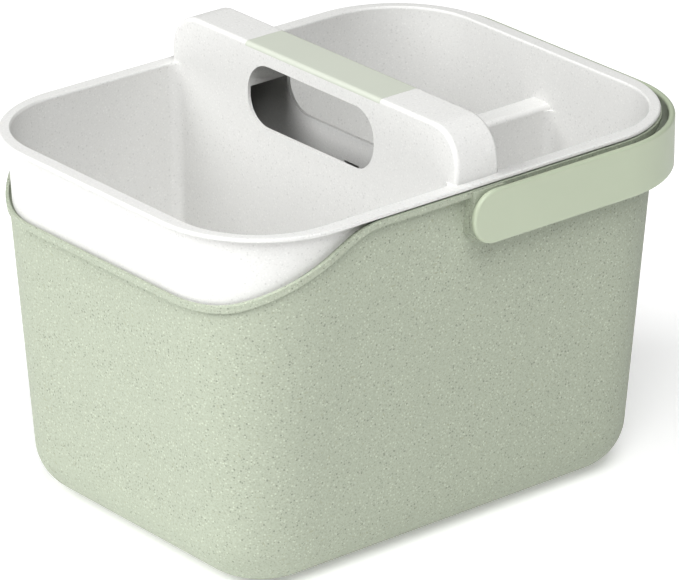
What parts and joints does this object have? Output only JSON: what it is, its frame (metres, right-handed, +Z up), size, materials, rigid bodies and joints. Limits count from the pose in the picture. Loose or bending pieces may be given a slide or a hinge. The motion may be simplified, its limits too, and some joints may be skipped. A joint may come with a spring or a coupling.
{
  "type": "cleaning caddy",
  "caption": "Rectangular cleaning caddy: open bucket with one dipped end, swinging bail handle and a lift-out divided tray with an arched hand grip.",
  "frame": {"origin": "centre of the bucket's flat base, on the surface it stands on", "axes": "+Z up; +X along the length towards the end where the bail rests; -X is the end with the dipped rim"},
  "size_m": [0.3144, 0.2478, 0.2275],
  "materials": {
    "bucket_plastic": "fine matte, flecked",
    "bail_plastic": "smooth satin",
    "tray_plastic": "fine matte, faintly flecked",
    "cap_plastic": "smooth satin"
  },
  "bodies": {
    "bucket": {"bucket": "bucket_plastic"},
    "bail": {"bail_handle": "bail_plastic"},
    "tray": {"tray": "tray_plastic", "grip_cap": "cap_plastic"}
  },
  "joints": [
    {"name": "bail_hinge", "type": "hinge", "parent": "bucket", "child": "bail", "pos_m": [0, 0, 0.1824], "axis": [0, -1, 0], "range_deg": [0, 180]},
    {"name": "tray_lift", "type": "slide", "parent": "bucket", "child": "tray", "axis": [0, 0, 1], "range_m": [0, 0.125]}
  ]
}
